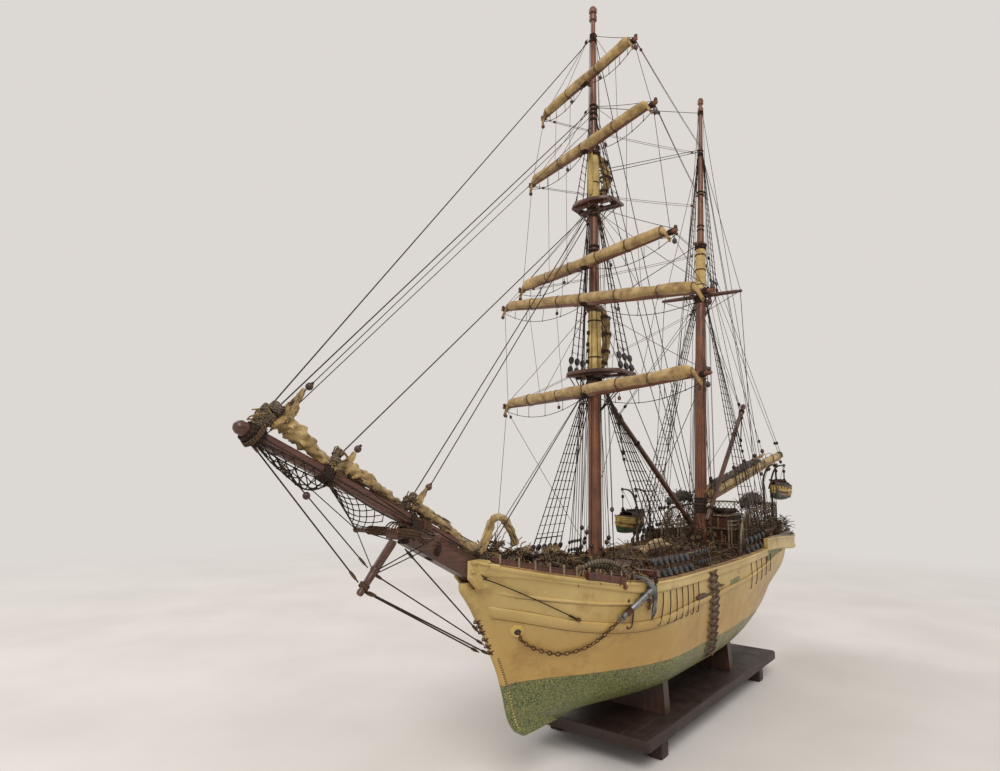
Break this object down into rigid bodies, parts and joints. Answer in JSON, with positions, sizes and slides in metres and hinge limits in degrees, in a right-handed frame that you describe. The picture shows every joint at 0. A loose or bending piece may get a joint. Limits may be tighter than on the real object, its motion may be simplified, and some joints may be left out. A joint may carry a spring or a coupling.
{
  "type": "model sailing ship",
  "caption": "Rigged wooden display model of a brigantine with furled sails, on a base board with cradles.",
  "frame": {"origin": "centre of the whole model's bounding box, at the level of the foot bottoms", "axes": "bow towards -X, port towards -Y, masts towards +Z"},
  "size_m": [1.1303, 0.3746, 1.0173],
  "materials": {
    "dark_board": "worn dark brown varnish",
    "hull_paint": "aged ochre-yellow paint, satin",
    "bottom_paint": "crackled green paint",
    "deck_wood": "bare planks, dusty",
    "house_wood": "red-brown stain",
    "mast_wood": "red-brown varnish",
    "spar_wood": "dark brown varnish",
    "sailcloth": "aged tan cotton",
    "anchor_iron": "dull grey paint",
    "davit_wire": "dark paint",
    "boat_paint": "aged ochre-yellow paint over green",
    "rigging_cord": "blackened twisted cord"
  },
  "bodies": {
    "ship": {"base_board": "dark_board", "foot_port_fore": "dark_board", "foot_starboard_fore": "dark_board", "foot_port_aft": "dark_board", "foot_starboard_aft": "dark_board", "cradle_fore": "dark_board", "cradle_aft": "dark_board", "hull": "hull_paint", "keel": "bottom_paint", "deck": "deck_wood", "bulwark_port": "hull_paint", "bulwark_starboard": "hull_paint", "poop_bulwark": "hull_paint", "deckhouse": "house_wood", "poop_cabin": "house_wood", "cathead_port": "spar_wood", "cathead_starboard": "spar_wood", "anchor_port": "anchor_iron", "anchor_starboard": "anchor_iron", "anchor_cable_port": "anchor_iron", "anchor_cable_starboard": "anchor_iron", "fore_lower_mast": "mast_wood", "fore_topmast": "mast_wood", "fore_topgallant_mast": "mast_wood", "main_lower_mast": "mast_wood", "main_topmast": "mast_wood", "fore_top": "spar_wood", "fore_crosstrees": "spar_wood", "main_crosstrees": "spar_wood", "bowsprit": "spar_wood", "jibboom": "spar_wood", "dolphin_striker": "spar_wood", "whisker_spreader": "spar_wood", "davits_port": "davit_wire", "davits_starboard": "davit_wire", "fore_shrouds": "rigging_cord", "main_shrouds": "rigging_cord", "outer_head_stays": "rigging_cord", "inner_head_stays": "rigging_cord", "martingale_stays": "rigging_cord", "furled_headsails": "sailcloth"},
    "rudder": {"rudder": "bottom_paint"},
    "wheel": {"steering_wheel": "spar_wood"},
    "course_yard": {"yard_course": "mast_wood", "furled_course": "sailcloth"},
    "lower_topsail_yard": {"yard_lower_topsail": "mast_wood", "furled_lower_topsail": "sailcloth"},
    "upper_topsail_yard": {"yard_upper_topsail": "mast_wood", "furled_upper_topsail": "sailcloth"},
    "topgallant_yard": {"yard_topgallant": "mast_wood", "furled_topgallant": "sailcloth"},
    "royal_yard": {"yard_royal": "mast_wood", "furled_royal": "sailcloth"},
    "spanker": {"main_boom": "spar_wood", "main_gaff": "spar_wood", "furled_spanker": "sailcloth"},
    "fore_derrick": {"derrick_boom_fore": "spar_wood"},
    "aft_derrick": {"derrick_boom_aft": "spar_wood"},
    "port_boat": {"lifeboat_port": "boat_paint"},
    "starboard_boat": {"lifeboat_starboard": "boat_paint"}
  },
  "joints": [
    {"name": "rudder_turn", "type": "hinge", "parent": "ship", "child": "rudder", "pos_m": [0.5045, 0, 0.1], "axis": [0, 0, 1], "range_deg": [-30, 30]},
    {"name": "wheel_spin", "type": "hinge", "parent": "ship", "child": "wheel", "pos_m": [0.4495, 0, 0.225], "axis": [1, 0, 0], "continuous": true},
    {"name": "course_brace", "type": "hinge", "parent": "ship", "child": "course_yard", "pos_m": [-0.1045, 0, 0.4135], "axis": [0, 0, 1], "range_deg": [-12, 12]},
    {"name": "lower_topsail_brace", "type": "hinge", "parent": "ship", "child": "lower_topsail_yard", "pos_m": [-0.1045, 0, 0.5295], "axis": [0, 0, 1], "range_deg": [-12, 12]},
    {"name": "upper_topsail_brace", "type": "hinge", "parent": "ship", "child": "upper_topsail_yard", "pos_m": [-0.1045, 0, 0.577], "axis": [0, 0, 1], "range_deg": [-12, 12]},
    {"name": "topgallant_brace", "type": "hinge", "parent": "ship", "child": "topgallant_yard", "pos_m": [-0.1045, 0, 0.733], "axis": [0, 0, 1], "range_deg": [-12, 12]},
    {"name": "royal_brace", "type": "hinge", "parent": "ship", "child": "royal_yard", "pos_m": [-0.1045, 0, 0.827], "axis": [0, 0, 1], "range_deg": [-12, 12]},
    {"name": "boom_swing", "type": "hinge", "parent": "ship", "child": "spanker", "pos_m": [0.264, 0, 0.268], "axis": [0, 0, 1], "range_deg": [-2, 24]},
    {"name": "fore_derrick_slew", "type": "hinge", "parent": "ship", "child": "fore_derrick", "pos_m": [0.2315, 0.004, 0.24], "axis": [0, 0, 1], "range_deg": [-10, 10]},
    {"name": "aft_derrick_slew", "type": "hinge", "parent": "ship", "child": "aft_derrick", "pos_m": [0.2415, -0.018, 0.246], "axis": [0, 0, 1], "range_deg": [-10, 1]},
    {"name": "port_boat_sway", "type": "hinge", "parent": "ship", "child": "port_boat", "pos_m": [0.4195, -0.086, 0.338], "axis": [1, 0, 0], "range_deg": [-8, 4]},
    {"name": "starboard_boat_sway", "type": "hinge", "parent": "ship", "child": "starboard_boat", "pos_m": [0.2315, 0.112, 0.293], "axis": [1, 0, 0], "range_deg": [-4, 8]}
  ],
  "couplings": [
    {"joint": "lower_topsail_brace", "follows": "course_brace", "ratio": 1},
    {"joint": "upper_topsail_brace", "follows": "course_brace", "ratio": 1},
    {"joint": "topgallant_brace", "follows": "course_brace", "ratio": 1},
    {"joint": "royal_brace", "follows": "course_brace", "ratio": 1}
  ]
}
